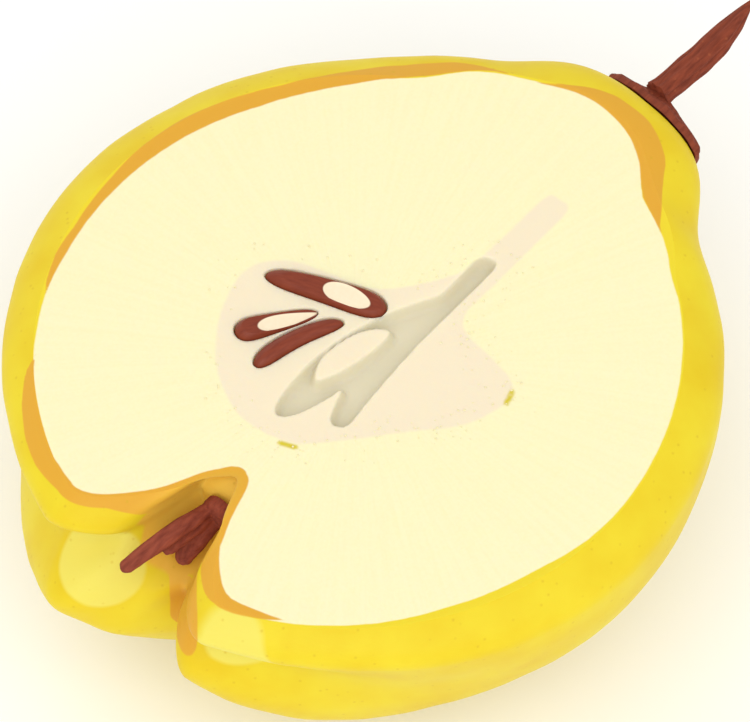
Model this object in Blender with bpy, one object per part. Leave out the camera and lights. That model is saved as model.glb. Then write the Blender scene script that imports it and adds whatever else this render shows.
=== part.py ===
# Half of a ripe quince, cut lengthwise a little in front of its core, with its stem, its dried
# calyx and three pips. It lies on its rounded side with the cut face up.
# Metres, +Z up. X runs along the core axis towards the stem; the origin is on the rest spot.

import math

import bmesh
import bpy
from mathutils import Matrix, Vector

GAP = 0.0003                  # clearance between pieces that touch

# The fruit is a sphere stretched to these half-lengths about the middle of its core axis.
TO_STEM = 0.0468
TO_EYE = 0.0465
TO_LEFT = 0.0461
TO_RIGHT = 0.0448
DOWNWARDS = 0.0395
UPWARDS = 0.0110              # shallow, so that the skin rolls over to the knife cut
CUT_ABOVE_AXIS = 0.0050
FLAT_DEPTH = 0.0012           # what the rest spot takes off the round underside
AXIS_HEIGHT = DOWNWARDS - FLAT_DEPTH
CUT_HEIGHT = AXIS_HEIGHT + CUT_ABOVE_AXIS

SHOULDER_RISE = 0.5           # extra height of the rolled rim beside the stem
SHOULDER_START = 0.72         # where it starts, as a share of the way to the stem
KNOB_SWELL = 0.147            # fleshy knob that the stem grows from
KNOB_REACH = math.radians(18.5)
LEFT_SHOULDER_SWELL = 0.040   # the left side runs up to the knob without a waist
LEFT_SHOULDER_ALONG = math.radians(24)
LEFT_SHOULDER_LENGTH = math.radians(12)
LEFT_SHOULDER_WIDTH = math.radians(60)
FULLER_SHARE = 0.017          # the fruit leans a little to the left of the eye
FULLER_AT = math.radians(132)

# Five furrows gather at the eye; bearings go round the axis from the left side over the top.
FURROW_BEARINGS = [math.radians(degrees) for degrees in (54, 126, -162, -100, -18)]
FURROW_WIDTH = math.radians(19)
FURROW_SHARE = 0.14           # depth of a furrow as a share of the radius
FURROW_START = math.radians(84)
FURROW_FULL = math.radians(160)
FURROW_FADE = (0.003, 0.012)  # the furrows run out towards the axis between these radii
LOW_LOBE_AT = math.radians(-33)
LOW_LOBE_WIDTH = math.radians(21)
LOW_LOBE_SWELL = 0.095        # the lower left lobe is the fullest
LOW_LOBE_FULL = math.radians(150)

WELL_RADIUS = 0.0042          # narrow well that the calyx sits in
WELL_DEPTH = 0.0086
WELL_WALL = 0.0016
MOUTH_RADIUS = 0.0155         # trumpet mouth of the basin round the eye
MOUTH_DEPTH = 0.0121
MOUTH_CURVE = 1.6
RIGHT_PINCH = 1.3             # the basin is this much narrower on its right side

SEGMENTS = 72                 # points in each ring round the core axis
BODY_RINGS = 34               # rings from the stem to the start of the basin
BASIN_RINGS = 15

# Pips: inner end, outer end (X, Y on the cut face), widths towards these ends, sideways bow, the
# share of the upper half that the knife took, and how much this slice rises towards the outer end.
PIPS = {
    "seed_1": {"inner": (0.0065, 0.0025), "outer": (0.0004, 0.0173), "widths": (0.0044, 0.0027),
               "bow": -0.0002, "slice": 0.30, "tilt": 0.02},
    "seed_2": {"inner": (0.0006, 0.0087), "outer": (-0.0086, 0.0143), "widths": (0.0017, 0.0039),
               "bow": 0.0, "slice": 0.53, "tilt": 0.11},
    "seed_3": {"inner": (0.0017, 0.0054), "outer": (-0.0105, 0.0093), "widths": (0.0022, 0.0028),
               "bow": -0.0008, "slice": 0.0, "tilt": 0.0},
}
PIP_BLUNTNESS = 3.2
PIP_THICKNESS = 0.0034
PIP_SUNK = 0.0005             # how far a pip's middle lies under the cut face
PIP_SEGMENTS = 16
PIP_RINGS = 12

# The empty seed chamber: grooves (points on the cut face) that join and run towards the stem.
CHAMBER_GROOVES = [
    {"route": [(-0.0128, 0.0022), (-0.0072, 0.0038), (0.0018, 0.0034), (0.0074, 0.0004),
               (0.0134, -0.0019), (0.0204, -0.0022)], "radius": 0.0013},
    {"route": [(-0.0092, -0.0041), (-0.0030, -0.0032), (0.0040, -0.0022), (0.0110, -0.0020)],
     "radius": 0.0013},
    {"route": [(-0.0088, 0.0010), (-0.0030, -0.0010), (0.0030, -0.0012), (0.0080, -0.0012)],
     "radius": 0.0012},
]
GROOVE_SEGMENTS = 14

# Stem: a woody twig with a flared base that hugs the knob.
STEM_LENGTH = 0.0181
STEM_ROOT_RADIUS = 0.0016
STEM_MIDDLE_RADIUS = 0.00175
STEM_SHIFT = 0.0006           # the twig's root lies this far left of the core axis
STEM_RISE = 0.0012            # how far the tip stands above the root
STEM_BOW = -0.0007            # sideways bow of the twig, to the right
COLLAR_RADIUS = 0.0079
COLLAR_SHIFT = -0.0012        # the collar sits a little to the right of the core axis
COLLAR_TOP = 0.0020           # its reach above the axis, well under the cut face
COLLAR_THICKNESS = 0.0010
STEM_SEGMENTS = 20

# Calyx: three dried sepals on a stub, measured from the middle of the well's floor.
SEPALS = [
    {"root": (-0.0006, 0.0010, 0.0004), "tip": (-0.0160, 0.0026, 0.0020), "width": 0.0012},
    {"root": (-0.0006, 0.0006, -0.0004), "tip": (-0.0088, 0.0021, -0.0018), "width": 0.0012},
    {"root": (-0.0006, 0.0002, -0.0008), "tip": (-0.0078, 0.0005, -0.0040), "width": 0.0014},
]
SEPAL_RINGS = 9
SEPAL_SEGMENTS = 10
STUB_RADIUS = 0.0024
STUB_LENGTH = 0.0020


def smooth(start, end, value):
    share = min(1.0, max(0.0, (value - start) / (end - start)))
    return share * share * (3 - 2 * share)


def hump(bearing, at, width):
    """Rounded bump of height 1 at a bearing, measured the short way round."""
    apart = (bearing - at + math.pi) % (2 * math.pi) - math.pi
    return math.exp(-(apart / width) ** 2)


def relief(along, x, y, z):
    """Radius factor for the furrows, the full lower lobe, the shoulder and the stem's knob."""
    bearing = math.atan2(z, y)
    fade = smooth(*FURROW_FADE, math.hypot(y, z))
    furrow = sum(hump(bearing, at, FURROW_WIDTH) for at in FURROW_BEARINGS)
    furrow *= FURROW_SHARE * smooth(FURROW_START, FURROW_FULL, along) * fade
    lobe = hump(bearing, LOW_LOBE_AT, LOW_LOBE_WIDTH)
    lobe *= LOW_LOBE_SWELL * smooth(FURROW_START, LOW_LOBE_FULL, along) * fade
    shoulder = LEFT_SHOULDER_SWELL * hump(bearing, 0, LEFT_SHOULDER_WIDTH)
    shoulder *= hump(along, LEFT_SHOULDER_ALONG, LEFT_SHOULDER_LENGTH)
    knob = KNOB_SWELL * math.exp(-(along / KNOB_REACH) ** 4)
    lean = FULLER_SHARE * math.cos(math.atan2(y, x) - FULLER_AT)
    return 1 - furrow + lobe + shoulder + knob + lean


def basin_depth(y, z):
    """How far the skin is drawn in beside the core axis at the eye end."""
    reach = max(math.hypot(y if y > 0 else y * RIGHT_PINCH, z), WELL_RADIUS)
    mouth = max(0.0, (MOUTH_RADIUS - reach) / (MOUTH_RADIUS - WELL_RADIUS)) ** MOUTH_CURVE
    well = math.exp(-((reach - WELL_RADIUS) / WELL_WALL) ** 2)
    return MOUTH_DEPTH * mouth + WELL_DEPTH * well


def fruit_point(along, around):
    """Point on the skin about the core axis; along is 0 at the stem and pi at the eye."""
    toward_stem = math.cos(along)
    leftwards = math.sin(along) * math.cos(around)
    upwards = math.sin(along) * math.sin(around)
    x = toward_stem * (TO_STEM if toward_stem > 0 else TO_EYE)
    y = leftwards * (TO_LEFT if leftwards > 0 else TO_RIGHT)
    rim = UPWARDS * (1 + SHOULDER_RISE * smooth(SHOULDER_START, 1, toward_stem))
    z = upwards * (rim if upwards > 0 else DOWNWARDS)
    factor = relief(along, x, y, z)
    y, z = y * factor, z * factor
    x = x * factor + (basin_depth(y, z) if x < 0 else 0.0)
    return Vector((x, y, z + AXIS_HEIGHT))


def loft(name, rings, ends):
    """Closed mesh through rings of points, with one point closing each end."""
    bm = bmesh.new()
    loops = [[bm.verts.new(point) for point in ring] for ring in rings]
    first, last = (bm.verts.new(point) for point in ends)
    count = len(loops[0])
    for step in range(count):
        after = (step + 1) % count
        bm.faces.new((first, loops[0][after], loops[0][step]))
        bm.faces.new((last, loops[-1][step], loops[-1][after]))
        for near, far in zip(loops, loops[1:]):
            bm.faces.new((near[step], near[after], far[after], far[step]))
    bmesh.ops.recalc_face_normals(bm, faces=bm.faces)
    mesh = bpy.data.meshes.new(name)
    bm.to_mesh(mesh)
    bm.free()
    return mesh


def slice_flat(mesh, point, normal):
    """Cuts away what lies beyond a plane and closes the cut with a flat face."""
    bm = bmesh.new()
    bm.from_mesh(mesh)
    bmesh.ops.bisect_plane(bm, geom=bm.verts[:] + bm.edges[:] + bm.faces[:], plane_co=point,
                           plane_no=normal, clear_outer=True)
    rim = [edge for edge in bm.edges if edge.is_boundary]
    if rim:
        bmesh.ops.contextual_create(bm, geom=rim)
    bmesh.ops.recalc_face_normals(bm, faces=bm.faces)
    bm.to_mesh(mesh)
    bm.free()


def shade(mesh, sharp_degrees=40):
    mesh.shade_smooth()
    mesh.set_sharp_from_angle(angle=math.radians(sharp_degrees))


def add_object(name, mesh, material=None):
    piece = bpy.data.objects.new(name, mesh)
    bpy.context.scene.collection.objects.link(piece)
    if material:
        mesh.materials.append(material)
    return piece


def make_material(name, color, roughness):
    material = bpy.data.materials.new(name)
    material.use_nodes = True
    shader = material.node_tree.nodes["Principled BSDF"]
    shader.inputs["Base Color"].default_value = (*color, 1.0)
    shader.inputs["Roughness"].default_value = roughness
    shader.inputs["Metallic"].default_value = 0.0
    return material


def subtract(piece, cutter):
    cutter.hide_render = True
    cutter.display_type = "WIRE"
    boolean = piece.modifiers.new(cutter.name, "BOOLEAN")
    boolean.operation = "DIFFERENCE"
    boolean.solver = "EXACT"
    boolean.object = cutter


def make_fruit(material):
    """The skin and flesh in one solid, cut flat on top and flattened a little where it rests."""
    mouth_start = math.pi - math.asin(1.15 * MOUTH_RADIUS / TO_LEFT)
    along_angles = [mouth_start * (ring + 1) / BODY_RINGS for ring in range(BODY_RINGS)]
    mouth = [1.0 - (ring + 1) / (BASIN_RINGS + 1) for ring in range(BASIN_RINGS)]
    along_angles += [math.pi - (math.pi - mouth_start) * share ** 1.1 for share in mouth]
    rings = [[fruit_point(along, 2 * math.pi * step / SEGMENTS) for step in range(SEGMENTS)]
             for along in along_angles]
    mesh = loft("quince_half", rings, (fruit_point(0, 0), fruit_point(math.pi, 0)))
    slice_flat(mesh, (0, 0, CUT_HEIGHT), (0, 0, 1))
    slice_flat(mesh, (0, 0, 0), (0, 0, -1))
    shade(mesh)
    return add_object("quince_half", mesh, material)


def pip_mesh(name, pip, grow):
    """Pip along X with blunt round ends, a little bowed; grow widens it all round for its socket."""
    length = (Vector(pip["outer"]) - Vector(pip["inner"])).length + 2 * grow
    inner_width, outer_width = pip["widths"]
    rings = []
    for ring in range(1, PIP_RINGS):
        place = -math.cos(math.pi * ring / PIP_RINGS)
        fullness = (1 - abs(place) ** PIP_BLUNTNESS) ** 0.5
        width = inner_width + (outer_width - inner_width) * (place + 1) / 2 + 2 * grow
        thickness = min(PIP_THICKNESS + 2 * grow, width)
        middle = pip["bow"] * (1 - place ** 2)
        rings.append([Vector((place * length / 2,
                              middle + width / 2 * fullness * math.cos(2 * math.pi * step / PIP_SEGMENTS),
                              thickness / 2 * fullness * math.sin(2 * math.pi * step / PIP_SEGMENTS)))
                      for step in range(PIP_SEGMENTS)])
    return loft(name, rings, (Vector((-length / 2, 0, 0)), Vector((length / 2, 0, 0))))


def place_pip(mesh, pip):
    """Lays a pip on the cut face from its inner to its outer end."""
    inner, outer = Vector(pip["inner"]), Vector(pip["outer"])
    middle = (inner + outer) / 2
    run = (outer - inner).normalized()
    for vertex in mesh.vertices:
        x, y, z = vertex.co
        vertex.co = (middle.x + run.x * x - run.y * y, middle.y + run.y * x + run.x * y,
                     z + CUT_HEIGHT - PIP_SUNK)


def make_pip(name, pip, fruit, material):
    """One pip in a socket of the flesh; the knife has taken the top off some of them."""
    socket = pip_mesh(name + "_socket", pip, GAP)
    place_pip(socket, pip)
    subtract(fruit, add_object(name + "_socket", socket))
    mesh = pip_mesh(name, pip, 0.0)
    if pip["slice"]:
        top = PIP_THICKNESS / 2 * (1 - pip["slice"])
        slice_flat(mesh, (0, 0, top), (-pip["tilt"], 0, 1))
    place_pip(mesh, pip)
    shade(mesh)
    return add_object(name, mesh, material)


def path_points(route, spacing):
    """Evenly spread points on a smooth curve through a flat route."""
    points = []
    for index in range(len(route) - 1):
        before = Vector(route[max(index - 1, 0)])
        start, end = Vector(route[index]), Vector(route[index + 1])
        beyond = Vector(route[min(index + 2, len(route) - 1)])
        steps = max(1, round((end - start).length / spacing))
        for step in range(steps):
            t = step / steps
            points.append(0.5 * (2 * start + (end - before) * t
                                 + (2 * before - 5 * start + 4 * end - beyond) * t ** 2
                                 + (3 * start - before - 3 * end + beyond) * t ** 3))
    return points + [Vector(route[-1])]


def make_groove(name, groove, fruit):
    """Round-bottomed groove of the seed chamber, cut into the face along its route."""
    points = path_points(groove["route"], 0.0016)
    radius = groove["radius"]
    rings = []
    for index, point in enumerate(points):
        run = points[min(index + 1, len(points) - 1)] - points[max(index - 1, 0)]
        side = Vector((-run.y, run.x)).normalized()
        ring = []
        for step in range(GROOVE_SEGMENTS):
            angle = 2 * math.pi * (step + 0.5) / GROOVE_SEGMENTS
            flat = point + side * radius * math.cos(angle)
            ring.append(Vector((flat.x, flat.y, CUT_HEIGHT + radius * math.sin(angle))))
        rings.append(ring)
    ends = []
    for near, inward in ((points[0], points[1]), (points[-1], points[-2])):
        tip = near + (near - inward).normalized() * radius
        ends.append(Vector((tip.x, tip.y, CUT_HEIGHT)))
    subtract(fruit, add_object(name, loft(name, rings, ends)))


def shoulder_x(y, z):
    """Place along the core axis where the skin of the knob passes through a point (y, z)."""
    along = 0.0
    for _ in range(30):
        factor = relief(along, TO_STEM, y, z)
        sideways = y / factor / (TO_LEFT if y > 0 else TO_RIGHT)
        rim = UPWARDS * (1 + SHOULDER_RISE * smooth(SHOULDER_START, 1, math.cos(along)))
        upwards = z / factor / (rim if z > 0 else DOWNWARDS)
        along = (along + math.asin(min(0.99, math.hypot(sideways, upwards)))) / 2
    return TO_STEM * factor * math.cos(along)


def make_stem(material):
    """Twig and flared collar in one solid; the collar follows the knob at the gap's distance."""
    def collar_ring(radius, lift):
        ring = []
        for step in range(STEM_SEGMENTS):
            angle = 2 * math.pi * step / STEM_SEGMENTS
            y = radius * math.cos(angle) + COLLAR_SHIFT * radius / COLLAR_RADIUS
            z = radius * math.sin(angle)
            if z > 0:
                z *= COLLAR_TOP / COLLAR_RADIUS
            ring.append(Vector((shoulder_x(y, z) + lift, y, z + AXIS_HEIGHT)))
        return ring

    underside = [collar_ring(COLLAR_RADIUS * share, GAP) for share in (0.2, 0.4, 0.55, 0.7, 0.85, 1.0)]
    topside = [collar_ring(COLLAR_RADIUS * share, GAP + COLLAR_THICKNESS * lift)
               for share, lift in ((1.02, 0.5), (0.97, 1.0), (0.8, 1.1), (0.6, 1.3), (0.36, 1.7))]
    root_x = shoulder_x(0, 0) + GAP + COLLAR_THICKNESS * 2.2
    twig = []
    for share, width in ((0.0, 1.3), (0.06, 1.0), (0.2, 1.05), (0.4, 1.2), (0.6, 1.15), (0.78, 0.8),
                         (0.91, 0.42)):
        radius = STEM_ROOT_RADIUS * width if share < 0.3 else STEM_MIDDLE_RADIUS * width / 1.2
        centre_y = STEM_SHIFT + STEM_BOW * math.sin(math.pi * share)
        centre_z = AXIS_HEIGHT + STEM_RISE * share
        twig.append([Vector((root_x + STEM_LENGTH * share,
                             centre_y + radius * math.cos(2 * math.pi * step / STEM_SEGMENTS),
                             centre_z + radius * math.sin(2 * math.pi * step / STEM_SEGMENTS)))
                     for step in range(STEM_SEGMENTS)])
    heel = Vector((shoulder_x(0, 0) + GAP, 0, AXIS_HEIGHT))
    tip = Vector((root_x + STEM_LENGTH, STEM_SHIFT, AXIS_HEIGHT + STEM_RISE))
    mesh = loft("stem", underside + topside + twig, (heel, tip))
    shade(mesh, 50)
    return add_object("stem", mesh, material)


def sepal_mesh(name, sepal):
    """Dried sepal, a flattened finger with a round tip that thins towards its end."""
    root, tip = Vector(sepal["root"]), Vector(sepal["tip"])
    run = (tip - root).normalized()
    side = run.cross(Vector((0, 0, 1))).normalized()
    up = side.cross(run)
    rings = []
    for ring in range(SEPAL_RINGS):
        share = ring / SEPAL_RINGS
        width = sepal["width"] * (0.75 + 0.25 * math.sin(math.pi * share)) * (1 - share ** 6) ** 0.5
        centre = root.lerp(tip, share) + up * 0.0006 * math.sin(math.pi * share)
        rings.append([centre + side * width * math.cos(2 * math.pi * step / SEPAL_SEGMENTS)
                      + up * 0.62 * width * math.sin(2 * math.pi * step / SEPAL_SEGMENTS)
                      for step in range(SEPAL_SEGMENTS)])
    return loft(name, rings, (root, tip))


def make_calyx(material):
    """Sepals and the stub they grow from, joined into one solid."""
    rings = []
    for share, width in ((0.0, 1.0), (0.5, 0.97), (0.85, 0.75)):
        rings.append([Vector((-STUB_LENGTH * share,
                              STUB_RADIUS * width * math.cos(2 * math.pi * step / STEM_SEGMENTS),
                              STUB_RADIUS * width * math.sin(2 * math.pi * step / STEM_SEGMENTS)))
                      for step in range(STEM_SEGMENTS)])
    stub = loft("calyx", rings, (Vector((0, 0, 0)), Vector((-STUB_LENGTH, 0, 0))))
    calyx = add_object("calyx", stub, material)
    sepals = [add_object("sepal", sepal_mesh("sepal", sepal)) for sepal in SEPALS]
    for sepal in sepals:
        union = calyx.modifiers.new("join sepal", "BOOLEAN")
        union.operation = "UNION"
        union.solver = "EXACT"
        union.object = sepal
    evaluated = calyx.evaluated_get(bpy.context.evaluated_depsgraph_get())
    joined = bpy.data.meshes.new_from_object(evaluated)
    calyx.modifiers.clear()
    joined.transform(Matrix.Translation(fruit_point(math.pi, 0) - Vector((GAP, 0, 0))))
    calyx.data = joined
    for sepal in sepals:
        bpy.data.objects.remove(sepal)
    shade(joined, 50)
    return calyx


def build():
    for leftover in list(bpy.data.objects):
        bpy.data.objects.remove(leftover)
    flesh = make_material("quince_flesh_and_skin", (0.93, 0.72, 0.05), 0.45)
    pip_coat = make_material("pip_coat", (0.26, 0.054, 0.03), 0.4)
    bark = make_material("stem_bark", (0.24, 0.058, 0.027), 0.75)
    sepal_skin = make_material("dried_sepal", (0.23, 0.05, 0.027), 0.85)
    fruit = make_fruit(flesh)
    for index, groove in enumerate(CHAMBER_GROOVES):
        make_groove(f"chamber_groove_{index + 1}", groove, fruit)
    for name, pip in PIPS.items():
        make_pip(name, pip, fruit, pip_coat)
    make_stem(bark)
    make_calyx(sepal_skin)


build()
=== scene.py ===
import math
import bmesh
import bpy
import numpy as np
from mathutils import Matrix, Vector, geometry, kdtree, noise


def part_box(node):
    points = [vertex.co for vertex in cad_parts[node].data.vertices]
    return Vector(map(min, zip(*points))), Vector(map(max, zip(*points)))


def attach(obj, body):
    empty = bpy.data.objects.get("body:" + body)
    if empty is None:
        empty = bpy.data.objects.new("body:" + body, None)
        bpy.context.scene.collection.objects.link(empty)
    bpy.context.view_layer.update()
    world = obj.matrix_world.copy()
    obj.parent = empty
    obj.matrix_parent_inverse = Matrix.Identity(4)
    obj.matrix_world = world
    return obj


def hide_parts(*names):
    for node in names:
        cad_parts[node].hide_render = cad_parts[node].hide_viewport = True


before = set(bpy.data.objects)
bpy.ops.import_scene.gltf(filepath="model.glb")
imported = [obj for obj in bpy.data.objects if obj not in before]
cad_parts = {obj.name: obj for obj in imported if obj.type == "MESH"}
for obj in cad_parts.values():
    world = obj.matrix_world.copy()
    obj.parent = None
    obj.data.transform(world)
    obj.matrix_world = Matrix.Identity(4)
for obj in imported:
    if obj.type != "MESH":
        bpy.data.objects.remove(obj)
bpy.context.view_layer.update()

mm = 0.001
gap = 0.3 * mm  # clearance between touching pieces
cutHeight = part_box("quince_half")[1].z  # level of the knife cut

print("quince slice: frame loaded, knife cut at", round(cutHeight, 5))


def linear(hexColour):  # sRGB hex to the linear colour that shaders want
    channels = [int(hexColour[i:i + 2], 16) / 255 for i in (1, 3, 5)]
    return (*[c / 12.92 if c <= 0.04045 else ((c + 0.055) / 1.055) ** 2.4 for c in channels], 1)


def addNode(tree, kind, sockets=None, **settings):  # values: a node's first output, or hex
    node = tree.nodes.new(kind)
    for setting, value in settings.items():
        setattr(node, setting, value)
    for key, value in (sockets or {}).items():
        if isinstance(value, bpy.types.Node):
            value = value.outputs[0]
        if isinstance(value, bpy.types.NodeSocket):
            tree.links.new(value, node.inputs[key])
        else:
            isColour = isinstance(value, str) and value.startswith("#")
            node.inputs[key].default_value = linear(value) if isColour else value
    return node


def smooth(start, end, value):  # eased step from 0 to 1
    share = np.clip((value - start) / (end - start), 0, 1)
    return share * share * (3 - 2 * share)


def hump(angle, at, width):  # rounded bump of height 1; angle in radians, the others in degrees
    apart = (angle - math.radians(at) + math.pi) % (2 * math.pi) - math.pi
    return np.exp(-(apart / math.radians(width)) ** 2)


def smoothOutline(route, steps=5):  # closed Catmull-Rom curve through flat points
    start = np.array(route, float)[:, None]
    before, end, beyond = (np.roll(start, shift, axis=0) for shift in (1, -1, -2))
    t = (np.arange(steps) / steps)[:, None]
    curve = 0.5 * (2 * start + (end - before) * t
                   + (2 * before - 5 * start + 4 * end - beyond) * t ** 2
                   + (3 * start - before - 3 * end + beyond) * t ** 3)
    return curve.reshape(-1, 2)


def routeDistance(points, route, closed=False):  # distance of flat points from a route
    ends = np.roll(route, -1, axis=0) if closed else route[1:]
    starts = route if closed else route[:-1]
    best = np.full(len(points), 1e9)
    for start, end in zip(starts, ends):
        run = end - start
        share = np.clip(((points - start) @ run) / max(run @ run, 1e-12), 0, 1)
        best = np.minimum(best, np.hypot(*(points - start - share[:, None] * run).T))
    return best


def insideDistance(points, outline):  # distance from a closed outline, positive inside it
    inside = np.zeros(len(points), bool)
    for (x0, y0), (x1, y1) in zip(outline, np.roll(outline, -1, axis=0)):
        if y0 != y1:
            crosses = (y0 > points[:, 1]) != (y1 > points[:, 1])
            inside ^= crosses & (points[:, 0] < x0 + (points[:, 1] - y0) * (x1 - x0) / (y1 - y0))
    return routeDistance(points, outline, closed=True) * np.where(inside, 1, -1)


def meshFrom(name, verts, faces):
    mesh = bpy.data.meshes.new(name)
    mesh.from_pydata([tuple(v) for v in verts], [], faces)
    mesh.update()
    return mesh


def addObject(name, mesh, materials=()):
    piece = bpy.data.objects.new(name, mesh)
    bpy.context.scene.collection.objects.link(piece)
    for material in materials:
        mesh.materials.append(material)
    return piece


def setField(mesh, name, values, domain="POINT"):
    layer = mesh.attributes.new(name, "FLOAT", domain)
    layer.data.foreach_set("value", np.asarray(values, np.float32))


def addMap(mesh, name, places):  # UV map from one flat place for each point
    corners = np.empty(len(mesh.loops), int)
    mesh.loops.foreach_get("vertex_index", corners)
    layer = mesh.uv_layers.new(name=name)
    layer.data.foreach_set("uv", places[corners].astype(np.float32).ravel())


def shade(mesh, sharpDegrees):
    mesh.shade_smooth()
    mesh.set_sharp_from_angle(angle=math.radians(sharpDegrees))


def lofted(name, rings, ends):  # closed mesh through rings of points, one point at each end
    segments, last = len(rings[0]), (len(rings) - 1) * len(rings[0])
    verts = [point for ring in rings for point in ring] + list(ends)
    head, tail = len(verts) - 2, len(verts) - 1
    pairs = [(s, (s + 1) % segments) for s in range(segments)]
    faces = [(r + s, r + after, r + segments + after, r + segments + s)
             for r in range(0, last, segments) for s, after in pairs]
    faces += [(head, after, s) for s, after in pairs]
    faces += [(tail, last + s, last + after) for s, after in pairs]
    mesh = meshFrom(name, verts, faces)
    bm = bmesh.new()
    bm.from_mesh(mesh)
    bmesh.ops.recalc_face_normals(bm, faces=bm.faces)
    bm.to_mesh(mesh)
    bm.free()
    return mesh


def newTree(name, inputs):  # geometry tree with named inputs; returns it with its input node
    tree = bpy.data.node_groups.new(name, "GeometryNodeTree")
    tree.interface.new_socket(name="Geometry", in_out="INPUT", socket_type="NodeSocketGeometry")
    tree.interface.new_socket(name="Geometry", in_out="OUTPUT", socket_type="NodeSocketGeometry")
    for label, kind in inputs.items():
        tree.interface.new_socket(name=label, in_out="INPUT", socket_type="NodeSocket" + kind)
    return tree, addNode(tree, "NodeGroupInput").outputs


def grow(name, base, tree, values):  # runs a tree on an object and keeps the result as a mesh
    modifier = base.modifiers.new(tree.name, "NODES")
    modifier.node_group = tree
    for item in tree.interface.items_tree:
        if item.in_out == "INPUT" and item.name in values:
            modifier[item.identifier] = values[item.name]
    evaluated = base.evaluated_get(bpy.context.evaluated_depsgraph_get())
    mesh = bpy.data.meshes.new_from_object(evaluated)
    mesh.name = name
    bpy.data.objects.remove(base)
    return addObject(name, mesh)


def startMaterial(name):
    material = bpy.data.materials.new(name)
    material.use_nodes = True
    tree = material.node_tree
    place = addNode(tree, "ShaderNodeTexCoord").outputs["Object"]
    return material, tree, place


def finishMaterial(material, finish, colour, height=None):  # colour, relief and constant values
    tree = material.node_tree
    shader = tree.nodes["Principled BSDF"]
    tree.links.new(colour, shader.inputs["Base Color"])
    if height:
        strength, depth = finish["bump"]
        bump = addNode(tree, "ShaderNodeBump", {"Height": height, "Strength": strength,
                       "Distance": depth * mm})
        tree.links.new(bump.outputs[0], shader.inputs["Normal"])
    for socket, value in finish["surface"].items():
        shader.inputs[socket].default_value = value
    return material


def edgeMask(tree, field, softness, wobble=None):  # 1 where a distance field in mm is positive
    distance = addNode(tree, "ShaderNodeAttribute", attribute_name=field).outputs["Fac"]
    if wobble:
        distance = addNode(tree, "ShaderNodeMath", {0: distance, 1: wobble})
    return addNode(tree, "ShaderNodeMapRange", {"Value": distance, "From Min": -softness,
                   "From Max": softness}, interpolation_type="SMOOTHSTEP")


def edgeWobble(tree, place, finish):  # small uneven shift that keeps colour edges natural
    wobble = addNode(tree, "ShaderNodeTexNoise", {"Vector": place,
                     "Scale": 1 / (finish["wobbleSize"] * mm)})
    return addNode(tree, "ShaderNodeMapRange", {"Value": wobble, "To Min": -finish["wobble"],
                   "To Max": finish["wobble"]})


def layered(tree, colour, *layers):  # lays each colour over the ones before it where its mask is 1
    for mask, over in layers:
        colour = addNode(tree, "ShaderNodeMix", {0: mask, 6: colour, 7: over},
                         data_type="RGBA").outputs[2]
    return colour


softSpan = {"From Min": 0.35, "From Max": 0.7}  # the span of a noise that a tone follows
drySpan = {"From Min": 0.35, "From Max": 0.68}
skinFinish = {  # sizes in millimetres; bump is its strength and its depth
    # pale yellow paints highlights on the skin
    "yellow": "#E3CD27", "highlightYellow": "#E4D65C", "deepYellow": "#DEC019", "pore": "#C9A21B",
    # amber paints shade; the lighter amber inside the eye is painted light that offsets the
    # hollow's real shade
    "amber": "#DAA22F", "basinLitShade": "#F3C94E", "mottleSize": 9.0, "poreSpacing": 1.7,
    "poreSize": 0.16, "poreTint": 0.45, "grain": 0.5, "wobble": 0.1, "wobbleSize": 3.0,
    "bump": (0.25, 0.05),
    "surface": {"Roughness": 0.48, "IOR": 1.45, "Specular IOR Level": 0.24,
                "Subsurface Weight": 0.12, "Subsurface Radius": (1.6, 1.0, 0.3),
                "Subsurface Scale": mm},
}


def waxySkin():  # ripe quince peel: a waxy cuticle over cells, so a soft broad sheen and fine pores
    finish = skinFinish
    material, tree, place = startMaterial("ripe quince peel")
    mottle = addNode(tree, "ShaderNodeTexNoise", {"Vector": place, "Detail": 3.0,
                     "Scale": 1 / (finish["mottleSize"] * mm)})
    mottle = addNode(tree, "ShaderNodeMapRange", {"Value": mottle, **softSpan})
    wobble = edgeWobble(tree, place, finish)
    # amber painted shade, lighter inside the eye as painted light
    amber = layered(tree, finish["amber"],
                    (edgeMask(tree, "basinField", 2.5), finish["basinLitShade"]))
    pores = addNode(tree, "ShaderNodeTexVoronoi", {"Vector": place,
                    "Scale": 1 / (finish["poreSpacing"] * mm)})
    pore = addNode(tree, "ShaderNodeMapRange", {"Value": pores,
                   "From Max": finish["poreSize"] / finish["poreSpacing"] * 2,
                   "To Min": finish["poreTint"], "To Max": 0.0}, interpolation_type="SMOOTHSTEP")
    # the paler patches are painted highlights, the amber is painted shade
    colour = layered(tree, finish["yellow"], (mottle, finish["deepYellow"]),
                     (edgeMask(tree, "highlightField", 0.35, wobble), finish["highlightYellow"]),
                     (edgeMask(tree, "amberShadeField", 0.12, wobble), amber),
                     (pore, finish["pore"]))
    grain = addNode(tree, "ShaderNodeTexNoise", {"Vector": place, "Detail": 2.0,
                    "Scale": 1 / (finish["grain"] * mm)})
    relief = addNode(tree, "ShaderNodeMath", {0: grain, 1: pore}, operation="SUBTRACT")
    return finishMaterial(material, finish, colour, relief)


fleshFinish = {
    "cream": "#EFE8BC", "creamDeep": "#EBE0A9", "core": "#EBDDBF", "hollow": "#DAD1B4",
    "bundle": "#D0BE33", "rind": "#E3CD27", "grain": 0.45, "fibre": 0.7, "fibreFan": 36,
    "fibreDrift": (0.06, 0.05), "fanCentre": -2, "wobble": 0.1, "wobbleSize": 2.4,
    "bump": (0.3, 0.06),
    "surface": {"Roughness": 0.42, "IOR": 1.38, "Specular IOR Level": 0.4,
                "Subsurface Weight": 0.3, "Subsurface Radius": (3.0, 2.2, 1.0),
                "Subsurface Scale": mm},
}


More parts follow.
